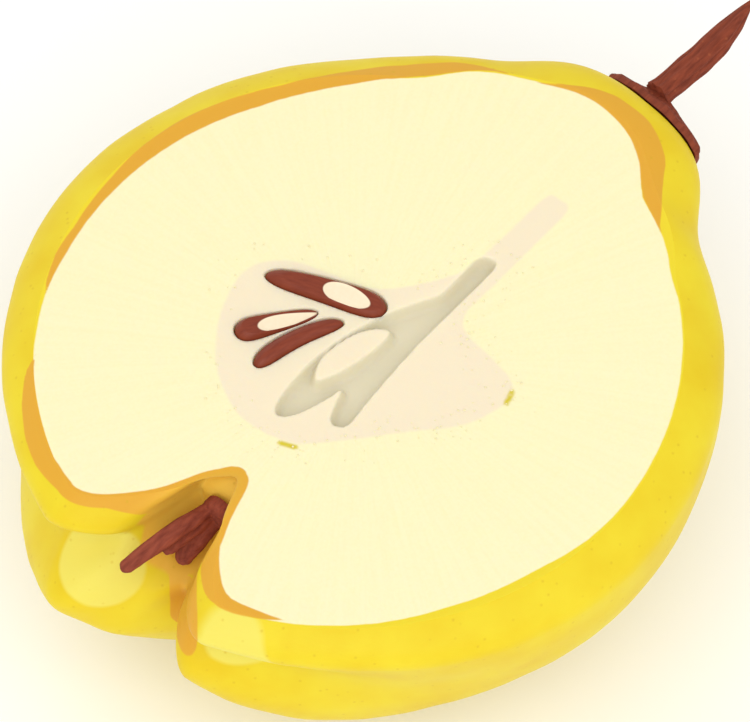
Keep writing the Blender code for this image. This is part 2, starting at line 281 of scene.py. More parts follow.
def cutFlesh():  # raw quince flesh under a sharp knife: moist, pale, faintly fibrous and gritty
    finish = fleshFinish
    material, tree, place = startMaterial("knife-cut quince flesh")
    wobble = edgeWobble(tree, place, finish)
    rays = addNode(tree, "ShaderNodeUVMap", uv_map="fibres")
    streak = addNode(tree, "ShaderNodeTexNoise", {"Vector": rays, "Detail": 3.0, "Scale": 1.0})
    grain = addNode(tree, "ShaderNodeTexNoise", {"Vector": place, "Detail": 2.0,
                    "Scale": 1 / (finish["grain"] * mm)})
    relief = addNode(tree, "ShaderNodeMath", {0: grain, 1: streak})
    tone = addNode(tree, "ShaderNodeMapRange", {"Value": relief, "From Min": 0.85,
                   "From Max": 1.35, "To Max": 0.35})
    # the amber along the rim is painted shade
    colour = layered(tree, finish["cream"], (tone, finish["creamDeep"]),
                     (edgeMask(tree, "coreField", 0.3, wobble), finish["core"]),
                     (edgeMask(tree, "bundleField", 0.25, wobble), finish["bundle"]),
                     (edgeMask(tree, "hollowField", 0.12), finish["hollow"]),
                     (edgeMask(tree, "rindField", 0.12, wobble), finish["rind"]),
                     (edgeMask(tree, "amberShadeField", 0.12, wobble), skinFinish["amber"]))
    return finishMaterial(material, finish, colour, relief)


pipFinish = {
    "coat": "#83371E", "coatDark": "#752D18", "kernelEdge": "#692713", "kernel": "#F2E3C6",
    "kernelDeep": "#EDD9B7", "kernelGrain": 0.5, "bump": (0.2, 0.05),
    "surface": {"Roughness": 0.42, "Specular IOR Level": 0.28},
}


def pipCoat():  # seed coat of a quince pip: thin, dry, satin; the knife shows the pale kernel
    finish = pipFinish
    material, tree, place = startMaterial("quince pip coat and kernel")
    run = addNode(tree, "ShaderNodeUVMap", uv_map="lengthways")
    streak = addNode(tree, "ShaderNodeTexNoise", {"Vector": run, "Scale": 1.0, "Detail": 3.0})
    streak = addNode(tree, "ShaderNodeMapRange", {"Value": streak, **softSpan})
    cream = addNode(tree, "ShaderNodeTexNoise", {"Vector": place,
                    "Scale": 1 / (finish["kernelGrain"] * mm)})
    kernel = layered(tree, finish["kernel"], (cream, finish["kernelDeep"]))
    colour = layered(tree, finish["coat"], (streak, finish["coatDark"]),
                     (edgeMask(tree, "kernelField", 0.28), finish["kernelEdge"]),
                     (edgeMask(tree, "kernelField", 0.05), kernel))
    return finishMaterial(material, finish, colour, streak)


barkFinish = {  # stretch draws the pattern out along the twig
    "bark": "#893E26", "furrow": "#6D2D1A", "speck": "#9D5331", "ridge": 0.45,
    "speckSpacing": 1.3, "stretch": 0.18, "bump": (0.5, 0.15),
    "surface": {"Roughness": 0.72, "Specular IOR Level": 0.25},
}


def twigBark():  # dry quince twig: ridged bark with darker furrows, quite rough
    finish = barkFinish
    material, tree, place = startMaterial("dry quince twig bark")
    run = addNode(tree, "ShaderNodeMapping", {"Vector": place,
                  "Scale": (finish["stretch"], 1.0, 1.0)})
    streak = addNode(tree, "ShaderNodeTexNoise", {"Vector": run, "Detail": 4.0,
                     "Scale": 1 / (finish["ridge"] * mm)})
    tone = addNode(tree, "ShaderNodeMapRange", {"Value": streak, **drySpan})
    specks = addNode(tree, "ShaderNodeTexVoronoi", {"Vector": place,
                     "Scale": 1 / (finish["speckSpacing"] * mm)})
    speck = addNode(tree, "ShaderNodeMapRange", {"Value": specks, "From Min": 0.08,
                    "From Max": 0.2, "To Min": 0.5, "To Max": 0.0})
    colour = layered(tree, finish["bark"], (tone, finish["furrow"]), (speck, finish["speck"]))
    return finishMaterial(material, finish, colour, streak)


sepalFinish = {
    "leaf": "#944834", "fold": "#783527", "wrinkle": 0.6, "stretch": 0.25, "bump": (0.5, 0.15),
    "surface": {"Roughness": 0.8, "Specular IOR Level": 0.2},
}


def driedSepal():  # withered sepal: papery, wrinkled lengthways, darker in its folds
    finish = sepalFinish
    material, tree, place = startMaterial("withered quince sepal")
    run = addNode(tree, "ShaderNodeMapping", {"Vector": place,
                  "Scale": (finish["stretch"], 1.0, 1.0)})
    wrinkle = addNode(tree, "ShaderNodeTexNoise", {"Vector": run, "Detail": 4.0,
                      "Scale": 1 / (finish["wrinkle"] * mm)})
    tone = addNode(tree, "ShaderNodeMapRange", {"Value": wrinkle, **drySpan})
    colour = layered(tree, finish["leaf"], (tone, finish["fold"]))
    return finishMaterial(material, finish, colour, wrinkle)


gritFinish = {
    "grain": "#EFE6BC", "grainDeep": "#E8DBA8", "mottleSize": 2.0, "surface": {"Roughness": 0.5},
}


def stoneCell():  # grit of the core: hard pale cells that catch a little light
    finish = gritFinish
    material, tree, place = startMaterial("quince stone cells")
    tone = addNode(tree, "ShaderNodeTexNoise", {"Vector": place,
                   "Scale": 1 / (finish["mottleSize"] * mm)})
    colour = layered(tree, finish["grain"], (tone, finish["grainDeep"]))
    return finishMaterial(material, finish, colour)


materials = {"skin": waxySkin(), "flesh": cutFlesh(), "pip": pipCoat(), "bark": twigBark(),
             "sepal": driedSepal(), "grit": stoneCell()}
print("materials made:", len(materials))


fruit = {  # metres and degrees, measured from the core axis
    "toStem": 0.0468, "toEye": 0.0465, "toLeft": 0.0461, "toRight": 0.0448,
    "down": 0.0395, "up": 0.0110, "axisBelowCut": 0.0050,
    "shoulderRise": 0.5, "shoulderStart": 0.72,
    "knobSwell": 0.147, "knobReach": 18.5,
    "leftShoulder": 0.040, "leftShoulderAlong": 24, "leftShoulderLength": 12,
    "leftShoulderWidth": 60, "fuller": 0.017, "fullerAt": 132,
    "furrows": (54, 126, -162, -100, -18), "furrowWidth": 19, "furrowShare": 0.14,
    "furrowStart": 84, "furrowFull": 160, "furrowFade": (0.003, 0.012),
    "lobeAt": -33, "lobeWidth": 21, "lobeSwell": 0.095, "lobeFull": 150,
    "wellRadius": 0.0042, "wellDepth": 0.0086, "wellWall": 0.0016,
    "mouthRadius": 0.0155, "mouthDepth": 0.0121, "mouthCurve": 1.6, "rightPinch": 1.3,
    "pleats": 11, "pleatDepth": 0.00022,  # fine folds that run into the eye
    "bodyRings": 120, "mouthRings": 64, "segments": 300,
    "lumpHeight": 0.00022, "lumpSize": 0.011, "seed": 4.0,
}
axisHeight = cutHeight - fruit["axisBelowCut"]

core = {  # flat outlines on the cut face in millimetres
    "outline": [(-2.4, 19.4), (1.1, 18.9), (4.1, 15.9), (5.6, 11.9), (7.4, 6.4), (10.1, 3.4),
                (14.1, 0.7), (18.1, -1), (26, -1.2), (32.5, -1.3), (33.2, -2.8), (32.6, -4.6),
                (26, -4.9), (18.1, -5.1), (13.1, -5.2), (10.7, -7.1), (10.1, -11.6),
                (9.4, -15.6), (8.1, -17.3), (6.1, -17.8), (2.1, -16.8), (-0.9, -15.1),
                (-4.9, -11.6), (-9.9, -7.6), (-13.9, -4.1), (-16.1, -1.6), (-17.3, 3.4),
                (-16.8, 7.4), (-14.4, 11.9), (-10.9, 15.4), (-6.9, 17.9)],
    "hollow": [(-14, 2), (-13.2, 3.3), (-9.9, 4.1), (-4.9, 4.4), (0.1, 3.8), (3.6, 2.9),
               (7.1, 1.7), (10.1, 0.3), (12.9, -1), (16.1, -1), (19.8, -0.9), (21, -2.2),
               (20.1, -3.5), (13.1, -3.7), (7.1, -3.8), (1.1, -4.2), (-4.9, -4.8), (-9.1, -5.3),
               (-10.4, -4.3), (-10, -3), (-7.9, -2), (-6, -1.2), (-8.4, -0.7),
               (-12.2, 0.5)],
    "island": [(-6.9, 2.2), (-5.2, 3.4), (-2.9, 3.8), (1.1, 3.1), (3.6, 1.6), (4.4, 0),
               (1.6, -0.3), (-2.9, 0.4), (-5.6, 1.3)],
    "hollowDepth": 1.7, "hollowWall": 0.9,
    "bundles": [[(-16.9, -0.8), (-16.1, -2.6)], [(6.3, -17.9), (8.1, -17.3)]],
    "bundleWidth": 0.35,
}

pips = {  # on the cut face, in millimetres: ends, widths towards them, sideways bow, kernel
    "seed_1": {"inner": (6.5, 2.5), "outer": (0.4, 17.3), "widths": (4.4, 2.7), "bow": -0.2,
               "slice": 0.30, "tilt": 0.02, "kernel": (4.5, 7.3), "kernelSize": (6.4, 3.0),
               "kernelTurn": -74, "kernelTaper": 0.1},
    "seed_2": {"inner": (0.6, 8.7), "outer": (-8.6, 14.3), "widths": (1.7, 3.9), "bow": 0.0,
               "slice": 0.53, "tilt": 0.11, "kernel": (-2.9, 10.6), "kernelSize": (7.8, 1.9),
               "kernelTurn": -29, "kernelTaper": 0.55},
    "seed_3": {"inner": (1.7, 5.4), "outer": (-10.5, 9.3), "widths": (2.2, 2.8), "bow": -0.8,
               "slice": 0.0},
}
pipBuild = {"thickness": 3.4, "bluntness": 4.8, "sunk": 0.5, "socketGap": 0.15,
            "kernelDip": 0.12, "widestFacet": 80, "rings": 72, "coatPoints": 48,
            "facetPoints": 30}

rimShadeBand = [  # painted shade in amber along the rim: bearing round the cut face, then from and to in millimetres: face -, skin +
    (-180, -1.6, 2.4), (-174, -0.9, 2.6), (-171, -0.2, 2.6), (-167, -1.2, 1.4), (-165, -1.7, 0.4),
    (-159, -1.3, 0), (-155, -0.9, -0.3), (-152, -0.7, -0.7), (-140, -1, -1.6),
    (-26, -1, -1.6), (-21, -1.5, -1.2), (-15, -1.9, 0.7), (-9, -1, 2.6), (-3, -0.8, 2.9),
    (3, -0.7, 2), (9, -0.6, 0.3), (14, -0.5, -0.5), (17, -0.3, -0.4), (21, 0, 0.5),
    (27, 0, 2.3), (33, 0, 2.8), (39, -0.6, 2.2), (45, -1.4, 0.9), (51, -1.9, 0.2),
    (57, -2.2, -0.2), (63, -2.4, -0.1), (69, -2.3, 0.1), (75, -2.2, 0.3), (84, -2.1, 0.1),
    (93, -1.9, -0.4), (99, -1.7, -0.5), (105, -1.5, -0.5), (111, -1.2, 0), (117, -0.7, -0.2),
    (120, -0.5, -0.6),
    (126, -0.5, -1.1), (131, -0.4, -0.8), (133, -0.2, 0), (135, 0, 1.1), (141, 0, 2.3),
    (147, 0, 2.8), (153, 0, 2.6), (159, -0.5, 1.5), (165, -0.4, 1.4), (169, -0.5, 3),
    (174, -0.9, 4.5), (180, -1.6, 2.4)]
rindEdge = [  # bearing, and how far in the yellow rind shows on the cut face in millimetres
    (-180, 0), (-150, 0.3), (-135, 0.7), (-123, 1.2), (-105, 1.3), (-93, 0.5), (-84, 0.25),
    (-36, 0.25), (-27, 0.9), (-15, 2), (-9, 0.9), (15, 0.4), (27, 0.1), (39, 0.4), (57, 2),
    (84, 2), (99, 1.6), (117, 0.6), (126, 0.3), (133, 0), (150, -0.2), (180, 0)]
eyeAndCreaseShade = {  # painted shade in amber around the calyx, and a streak of painted shade that runs down the crease below it, in metres
    "reach": 0.0062, "basinBefore": -0.02, "turn": 48, "streakAt": -0.02275,
    "streakHalf": 0.00175, "streakEnds": (0.0250, 0.0313), "streakSplit": -0.003,
    "streakBefore": -0.034, "belowCut": 0.0012}
highlightPatches = [  # painted highlights: centre and reach in metres
    {"at": (-0.0406, 0.0079, 0.0336), "reach": 0.0056},
    {"at": (-0.0386, -0.0136, 0.0373), "reach": 0.0065},
]


def relief(along, x, y, z):  # radius factor of the furrows, lobe, shoulder and knob
    f = fruit
    bearing = np.arctan2(z, y)
    fade = smooth(*f["furrowFade"], np.hypot(y, z))
    furrow = sum(hump(bearing, at, f["furrowWidth"]) for at in f["furrows"])
    furrow = furrow * f["furrowShare"] * fade * smooth(
        math.radians(f["furrowStart"]), math.radians(f["furrowFull"]), along)
    lobe = hump(bearing, f["lobeAt"], f["lobeWidth"]) * f["lobeSwell"] * fade * smooth(
        math.radians(f["furrowStart"]), math.radians(f["lobeFull"]), along)
    shoulder = (f["leftShoulder"] * hump(bearing, 0, f["leftShoulderWidth"])
                * hump(along, f["leftShoulderAlong"], f["leftShoulderLength"]))
    knob = f["knobSwell"] * np.exp(-(along / math.radians(f["knobReach"])) ** 4)
    lean = f["fuller"] * np.cos(np.arctan2(y, x) - math.radians(f["fullerAt"]))
    return 1 - furrow + lobe + shoulder + knob + lean


def basinDepth(y, z):  # how far the skin is drawn in at the eye end
    f = fruit
    offAxis = np.hypot(np.where(y > 0, y, y * f["rightPinch"]), z)
    reach = np.maximum(offAxis, f["wellRadius"])
    mouth = np.clip((f["mouthRadius"] - reach) / (f["mouthRadius"] - f["wellRadius"]), 0, 1)
    well = np.exp(-((reach - f["wellRadius"]) / f["wellWall"]) ** 2)
    pleat = (np.cos(f["pleats"] * np.arctan2(z, y) + 1.0) * f["pleatDepth"]
             * smooth(0.017, 0.009, offAxis) * smooth(0.0035, 0.006, offAxis))
    return f["mouthDepth"] * mouth ** f["mouthCurve"] + f["wellDepth"] * well + pleat


def fruitPoint(along, around):  # skin points about the core axis; along is 0 at the stem
    f = fruit
    towardStem, leftwards = np.cos(along), np.sin(along) * np.cos(around)
    upwards = np.sin(along) * np.sin(around)
    x = towardStem * np.where(towardStem > 0, f["toStem"], f["toEye"])
    y = leftwards * np.where(leftwards > 0, f["toLeft"], f["toRight"])
    rim = f["up"] * (1 + f["shoulderRise"] * smooth(f["shoulderStart"], 1, towardStem))
    z = upwards * np.where(upwards > 0, rim, f["down"])
    factor = relief(along, x, y, z)
    y, z = y * factor, z * factor
    x = x * factor + np.where(x < 0, basinDepth(y, z), 0)
    return np.stack([x, y, z + axisHeight], axis=-1)


def skinShell():  # fine skin, open where the knife went through and flat where it rests
    f = fruit
    mouthStart = math.pi - math.asin(1.15 * f["mouthRadius"] / f["toLeft"])
    along = np.concatenate([
        mouthStart * np.arange(1, f["bodyRings"] + 1) / f["bodyRings"],
        math.pi - (math.pi - mouthStart)
        * (1 - np.arange(1, f["mouthRings"] + 1) / (f["mouthRings"] + 1)) ** 1.1])
    around = 2 * math.pi * np.arange(f["segments"]) / f["segments"]
    grid = fruitPoint(along[:, None], around[None, :]).reshape(-1, 3)
    ends = [fruitPoint(np.array(end), np.array(0.0)) for end in (0.0, math.pi)]
    mesh = lofted("skin shell", list(grid.reshape(len(along), -1, 3)), ends)
    bm = bmesh.new()
    bm.from_mesh(mesh)
    for height, upwards in ((cutHeight, 1), (0, -1)):
        bmesh.ops.bisect_plane(bm, geom=bm.verts[:] + bm.edges[:] + bm.faces[:], dist=1e-6,
                               plane_co=(0, 0, height), plane_no=(0, 0, upwards),
                               clear_outer=True)
    spot = [edge for edge in bm.edges if edge.is_boundary and edge.verts[0].co.z < mm]
    bmesh.ops.contextual_create(bm, geom=spot)
    bmesh.ops.remove_doubles(bm, verts=bm.verts, dist=0.00001)
    bmesh.ops.recalc_face_normals(bm, faces=bm.faces)
    bm.verts.index_update()
    rim, rimEdges = [], [edge for edge in bm.edges if edge.is_boundary]
    follow = {}
    for edge in rimEdges:
        for vert in edge.verts:
            follow.setdefault(vert, []).append(edge.other_vert(vert))
    start = vert = rimEdges[0].verts[0]
    before = None
    while True:
        rim.append(vert.index)
        after = [other for other in follow[vert] if other is not before][0]
        before, vert = vert, after
        if vert is start:
            break
    bm.to_mesh(mesh)
    bm.free()
    return mesh, rim


def pipAxis(pip):  # middle, direction and length of a pip on the cut face
    inner, outer = np.array(pip["inner"]), np.array(pip["outer"])
    length = np.hypot(*(outer - inner))
    return (inner + outer) / 2, (outer - inner) / length, length


def pipPlace(pip, points):  # flat points in a pip's own frame: along it and across it
    middle, run, length = pipAxis(pip)
    along = (points - middle) @ run
    bow = pip["bow"] * np.clip(1 - (2 * along / length) ** 2, 0, 1)
    return along, (points - middle) @ np.array([-run[1], run[0]]) - bow


def pipPoint(pip, place, across):  # flat point from a place between -1 and 1 and an offset
    middle, run, length = pipAxis(pip)
    along = np.asarray(place) * length / 2
    side = np.asarray(across) + pip["bow"] * (1 - np.minimum(1, np.abs(place)) ** 2)
    return np.stack([middle[0] + run[0] * along - run[1] * side,
                     middle[1] + run[1] * along + run[0] * side], -1)


def pipSection(pip, place, grow=0.0):  # half width and half thickness at a place
    fullness = np.sqrt(1 - np.abs(place) ** pipBuild["bluntness"])
    inner, outer = pip["widths"]
    width = inner + (outer - inner) * (place + 1) / 2
    thickness = np.minimum(pipBuild["thickness"], width)
    return fullness * (width / 2 + grow), fullness * (thickness / 2 + grow)


def socketLoop(pip, grow):  # outline of the hole that a pip leaves in the cut face
    turn = 2 * math.pi * np.arange(150) / 150
    halfWidth = pipSection(pip, np.cos(turn), grow)[0]
    stretch = 1 + 2 * grow / pipAxis(pip)[2]
    return pipPoint(pip, np.cos(turn) * stretch, halfWidth * np.sign(np.sin(turn)))


def faceDepth(points):  # how far the cut face dips, in millimetres, at flat points in millimetres
    hollow = hollowField(points)
    share = np.clip(hollow / core["hollowWall"], 0, 1)
    depth = core["hollowDepth"] * (1 - (1 - share) ** 2)
    grow = pipBuild["socketGap"]
    for pip in pips.values():
        along, across = pipPlace(pip, points)
        reach = pipAxis(pip)[2] / 2 + grow
        halfWidth, halfThick = pipSection(pip, np.clip(along / reach, -1, 1), grow)
        inside = (np.abs(along) < reach) & (np.abs(across) < halfWidth)
        socket = pipBuild["sunk"] + halfThick * np.sqrt(
            np.clip(1 - (across / np.maximum(halfWidth, 0.01)) ** 2, 0, 1))
        depth = np.where(inside, np.maximum(depth, socket), depth)
    return depth


def hollowField(points):
    outer = insideDistance(points, smoothOutline(core["hollow"]))
    island = insideDistance(points, smoothOutline(core["island"]))
    return np.minimum(outer, -island)


faceGrid = {  # spacing of the points over the cut face in millimetres, and where it is fine
    "fine": 0.3, "coarse": 0.62, "fineFromRim": 3, "loopGap": 0.03,
    "fineAround": [(-16, 9), (-10, 18), (5, 19), (9, 8), (24, 2), (24, -7), (-12, -8), (-17, -2)],
}


def facePoints(rimPoints):  # points over the cut face, with two close loops round each socket
    rows = []
    for spacing, keepFine in ((faceGrid["fine"], True), (faceGrid["coarse"], False)):
        reach = int(55 / spacing)
        i, j = np.meshgrid(np.arange(-reach, reach + 1), np.arange(-reach, reach + 1))
        grid = np.stack([spacing * (i + 0.5 * (j % 2)), spacing * 0.866 * j], -1).reshape(-1, 2)
        fromRim = insideDistance(grid, rimPoints)
        grid, fromRim = grid[fromRim > 0.3], fromRim[fromRim > 0.3]
        carved = insideDistance(grid, np.array(faceGrid["fineAround"])) > 0
        rows.append(grid[(carved | (fromRim < faceGrid["fineFromRim"])) == keepFine])
    points = np.concatenate(rows)
    loops = [socketLoop(pip, pipBuild["socketGap"] + step)
             for pip in pips.values() for step in (-faceGrid["loopGap"], faceGrid["loopGap"])]
    for loop in loops:
        near = np.all((points > loop.min(0) - 0.1) & (points < loop.max(0) + 0.1), axis=1)
        near[near] = routeDistance(points[near], loop, closed=True) < 3 * faceGrid["loopGap"]
        points = points[~near]
    return points, loops


def bodyMesh():  # skin and carved cut face joined along the rim; also how many points are skin
    shell, rim = skinShell()
    count = len(shell.vertices)
    skin = np.empty(count * 3)
    shell.vertices.foreach_get("co", skin)
    skin = skin.reshape(-1, 3)
    rimPoints = skin[rim][:, :2] / mm
    inner, loops = facePoints(rimPoints)
    flat = np.concatenate([rimPoints, inner] + loops)
    starts = [0] + list(len(rim) + len(inner) + np.cumsum([0] + [len(x) for x in loops[:-1]]))
    edges = [(int(start) + i, int(start) + (i + 1) % len(loop))
             for start, loop in zip(starts, [rimPoints] + loops) for i in range(len(loop))]
    meshed = geometry.delaunay_2d_cdt([Vector(p) for p in flat], edges, [], 1, 1e-7)
    inner = flat[len(rim):]
    lookup = np.array(rim + list(range(count, count + len(inner))))
    origin = [source[0] for source in meshed[3]]
    cutFaces = [tuple(lookup[origin[i]] for i in face) for face in meshed[2]]
    carved = np.column_stack([inner * mm, cutHeight - faceDepth(inner) * mm])
    skinFaces = [tuple(face.vertices) for face in shell.polygons]
    mesh = meshFrom("quince body", np.concatenate([skin, carved]), skinFaces + cutFaces)
    setField(mesh, "onCut", np.arange(len(mesh.polygons)) >= len(skinFaces), "FACE")
    mesh.shade_smooth()
    rimSet = set(rim)
    for edge in mesh.edges:
        edge.use_edge_sharp = edge.vertices[0] in rimSet and edge.vertices[1] in rimSet
    return mesh, rim, count


def rimFields(verts, rim, isFace):  # distance from the rim, in on the face, and nearest bearing
    edge = verts[rim]
    shares = np.arange(8)[None, :, None] / 8
    edge = edge[:, None] * (1 - shares) + np.roll(edge, -1, axis=0)[:, None] * shares
    edge = edge.reshape(-1, 3)
    tree = kdtree.KDTree(len(edge))
    for index, point in enumerate(edge):
        tree.insert(point, index)
    tree.balance()
    nearest = [tree.find(point) for point in verts]
    distance = np.array([found[2] for found in nearest]) / mm
    distance[isFace] = -insideDistance(verts[isFace, :2] / mm, verts[rim][:, :2] / mm)
    return distance, np.degrees(np.arctan2([found[0].y for found in nearest],
                                           [found[0].x for found in nearest]))


def quinceBody():  # the mesh with the fields in millimetres that the materials and the tree read
    mesh, rim, skinCount = bodyMesh()
    verts = np.array([vert.co for vert in mesh.vertices])
    isFace = np.arange(len(verts)) >= skinCount
    distance, bearings = rimFields(verts, rim, isFace)
    # amber painted shade in a band along the rim, on skin and cut face
    table = np.array(rimShadeBand).T
    fromRim, toRim = (np.interp(bearings, table[0], limits) for limits in table[1:])
    amber = np.minimum(distance - fromRim, toRim - distance)
    x, y, z = verts.T
    # amber painted shade over the eye's hollow and in a streak down one crease
    eye = eyeAndCreaseShade
    offAxis = np.hypot(np.where(y > 0, y, y * fruit["rightPinch"]), z - axisHeight)
    inBasin = np.where(x < eye["basinBefore"], (eye["reach"] - offAxis) / mm, -5)
    turn = math.radians(eye["turn"])
    sideways = x * math.cos(turn) - y * math.sin(turn)
    streakEnd = np.where(y > eye["streakSplit"], *eye["streakEnds"]) + eye["streakHalf"]
    streak = (eye["streakHalf"] - np.hypot(
        sideways - eye["streakAt"], np.maximum(0, streakEnd - z))) / mm
    streak = np.where(x < eye["streakBefore"], streak, -5)
    streak = np.minimum(streak, (cutHeight - eye["belowCut"] - z) / mm)
    setField(mesh, "amberShadeField", np.where(isFace, amber, np.maximum.reduce(
        [amber, inBasin, streak])))
    setField(mesh, "basinField", inBasin)
    setField(mesh, "rindField", np.interp(bearings, *np.array(rindEdge).T) + distance)
    # painted highlights on two lobes
    setField(mesh, "highlightField", np.maximum.reduce([
        (patch["reach"] - np.linalg.norm(verts - np.array(patch["at"]), axis=1)) / mm
        for patch in highlightPatches]))
    places = verts[:, :2] / mm
    near = isFace & (np.hypot(*places.T) < 38)
    for name, values in (
            ("coreField", lambda p: insideDistance(p, smoothOutline(core["outline"]))),
            ("hollowField", hollowField),
            ("bundleField", lambda p: core["bundleWidth"] - np.minimum.reduce(
                [routeDistance(p, np.array(route)) for route in core["bundles"]]))):
        field = np.full(len(verts), -9.0)
        field[near] = values(places[near])
        setField(mesh, name, field)
    still = smooth(0.6, 3.5, distance) * smooth(0.2 * mm, 4 * mm, z)
    still = still * (1 - smooth(0.040, 0.046, x)) * smooth(0.006, 0.012, offAxis)
    setField(mesh, "skinShare", np.where(isFace, 0, still))
    # fibres fan out from the core, so the flesh pattern runs on an angle and a radius
    fromFan = places - np.array([fleshFinish["fanCentre"], 0])
    angle = np.arctan2(fromFan[:, 1], fromFan[:, 0])
    spun = np.stack([np.cos(angle), np.sin(angle)], -1) * (
        fleshFinish["fibreFan"] / fleshFinish["fibre"])
    drift = np.hypot(*fromFan.T)[:, None] * np.array(fleshFinish["fibreDrift"])
    addMap(mesh, "fibres", spun + drift)
    return addObject("quince body base", mesh)


def skinReliefTree():  # gentle lumps over the skin, none at the knife cut, rest spot or stem
    tree, given = newTree("quince skin lumps", {"Lump Height": "Float", "Lump Size": "Float",
                                                "Seed": "Float", "Peel": "Material",
                                                "Flesh": "Material"})
    scale = addNode(tree, "ShaderNodeMath", {0: 1.0, 1: given["Lump Size"]}, operation="DIVIDE")
    lumps = addNode(tree, "ShaderNodeTexNoise", {"W": given["Seed"], "Scale": scale,
                    "Detail": 1.5}, noise_dimensions="4D")
    share = addNode(tree, "GeometryNodeInputNamedAttribute", {"Name": "skinShare"})
    lift = addNode(tree, "ShaderNodeMapRange", {"Value": lumps, "From Min": 0.25,
                   "From Max": 0.75, "To Min": -1.0, "To Max": 1.0})
    lift = addNode(tree, "ShaderNodeMath", {0: lift, 1: given["Lump Height"]},
                   operation="MULTIPLY")
    lift = addNode(tree, "ShaderNodeMath", {0: lift, 1: share}, operation="MULTIPLY")
    normal = addNode(tree, "GeometryNodeInputNormal")
    offset = addNode(tree, "ShaderNodeVectorMath", {0: normal, "Scale": lift}, operation="SCALE")
    moved = addNode(tree, "GeometryNodeSetPosition", {"Geometry": given["Geometry"],
                    "Offset": offset})
    real = addNode(tree, "GeometryNodeRealizeInstances", {0: moved})
    peeled = addNode(tree, "GeometryNodeSetMaterial", {"Geometry": real,
                     "Material": given["Peel"]})
    onCut = addNode(tree, "GeometryNodeInputNamedAttribute", {"Name": "onCut"})
    cut = addNode(tree, "FunctionNodeCompare", {0: onCut, 1: 0.5}, operation="GREATER_THAN")
    done = addNode(tree, "GeometryNodeSetMaterial", {"Geometry": peeled, "Selection": cut,
                   "Material": given["Flesh"]})
    addNode(tree, "NodeGroupOutput", {"Geometry": done})
    return tree


body = grow("quinceBody", quinceBody(), skinReliefTree(), {
    "Lump Height": fruit["lumpHeight"], "Lump Size": fruit["lumpSize"], "Seed": fruit["seed"],
    "Peel": materials["skin"], "Flesh": materials["flesh"]})
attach(body, "root")
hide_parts("quince_half")
print("half fruit:", len(body.data.vertices), "points")


def pipMesh(pip):  # blunt pip; where the knife took its top, a flat facet shows the kernel
    length = pipAxis(pip)[2]
    rings = []
    for ring in range(1, pipBuild["rings"]):
        place = -math.cos(math.pi * ring / pipBuild["rings"])
        halfWidth, halfThick = pipSection(pip, place)
        facet = math.inf
        if pip["slice"]:
            facet = pipBuild["thickness"] / 2 * (1 - pip["slice"])
            facet += pip["tilt"] * place * length / 2
        corner = min(math.asin(min(1.0, facet / halfThick)),
                     math.radians(pipBuild["widestFacet"]))
        turn = np.linspace(math.pi - corner, 2 * math.pi + corner, pipBuild["coatPoints"])
        across, height = halfWidth * np.cos(turn), halfThick * np.sin(turn)
        top = np.linspace(across[-1], across[0], pipBuild["facetPoints"] + 2)[1:-1]
        rise = halfThick * np.sqrt(np.clip(1 - (top / halfWidth) ** 2, 0, 1))
        across, height = np.append(across, top), np.append(height, np.minimum(facet, rise))
        flat = pipPoint(pip, np.full(len(across), place), across)
        rings.append(np.column_stack([flat, height, height > facet - 0.001]))
    ends = np.column_stack([pipPoint(pip, np.array([-1, 1]), 0.0), [0, 0], [0, 0]])
    points = np.concatenate(rings + [ends])
    x, y, z = points[:, 0], points[:, 1], points[:, 2] - pipBuild["sunk"]
    field = np.full(len(points), -3.0)
    if pip["slice"]:
        turn = math.radians(pip["kernelTurn"])
        dx, dy = x - pip["kernel"][0], y - pip["kernel"][1]
        along = dx * math.cos(turn) + dy * math.sin(turn)
        across = dy * math.cos(turn) - dx * math.sin(turn)
        halfLength, halfWidth = np.array(pip["kernelSize"]) / 2
        halfWidth = halfWidth * (1 - pip["kernelTaper"] * along / halfLength)
        inside = (1 - np.hypot(along / halfLength, across / halfWidth)) * halfWidth
        field = np.where(points[:, 3] > 0.5, inside, -3.0)
        z = z - pipBuild["kernelDip"] * smooth(0.0, 0.25, field)
    verts = np.stack([x * mm, y * mm, cutHeight + z * mm], -1)
    mesh = lofted("pip", list(verts[:-2].reshape(len(rings), -1, 3)), verts[-2:])
    setField(mesh, "kernelField", field)
    addMap(mesh, "lengthways", np.stack(pipPlace(pip, points[:, :2]), -1) * np.array([0.5, 3.0]))
    shade(mesh, 35)
    return mesh


for index, (node, pip) in enumerate(pips.items()):
    piece = addObject("pip%d" % (index + 1), pipMesh(pip), [materials["pip"]])
    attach(piece, "root")
    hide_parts(node)
print("pips:", len(pips))


stem = {  # metres
    "length": 0.0181, "shift": 0.0006, "rise": 0.0012, "bow": -0.0007,
    "radii": [(0.0, 1.75), (0.06, 1.6), (0.2, 1.68), (0.4, 1.75), (0.6, 1.68), (0.78, 1.17),
              (0.91, 0.61), (1.0, 0.15)],
    "collarRadius": 0.0079, "collarShift": -0.0012, "collarTop": 0.0020,
    "collarThickness": 0.0010, "ridges": 11, "ridgeHeight": 0.09, "knots": 0.10,
    "segments": 132, "rings": 60,
}


def shoulderX(y, z):  # where the skin of the knob passes through (y, z), along the core axis
    f = fruit
    along = np.zeros_like(y)
    for _ in range(30):
        factor = relief(along, f["toStem"], y, z)
        sideways = y / factor / np.where(y > 0, f["toLeft"], f["toRight"])
        rim = f["up"] * (1 + f["shoulderRise"] * smooth(f["shoulderStart"], 1, np.cos(along)))
        upwards = z / factor / np.where(z > 0, rim, f["down"])
        along = (along + np.arcsin(np.minimum(0.99, np.hypot(sideways, upwards)))) / 2
    return f["toStem"] * factor * np.cos(along)


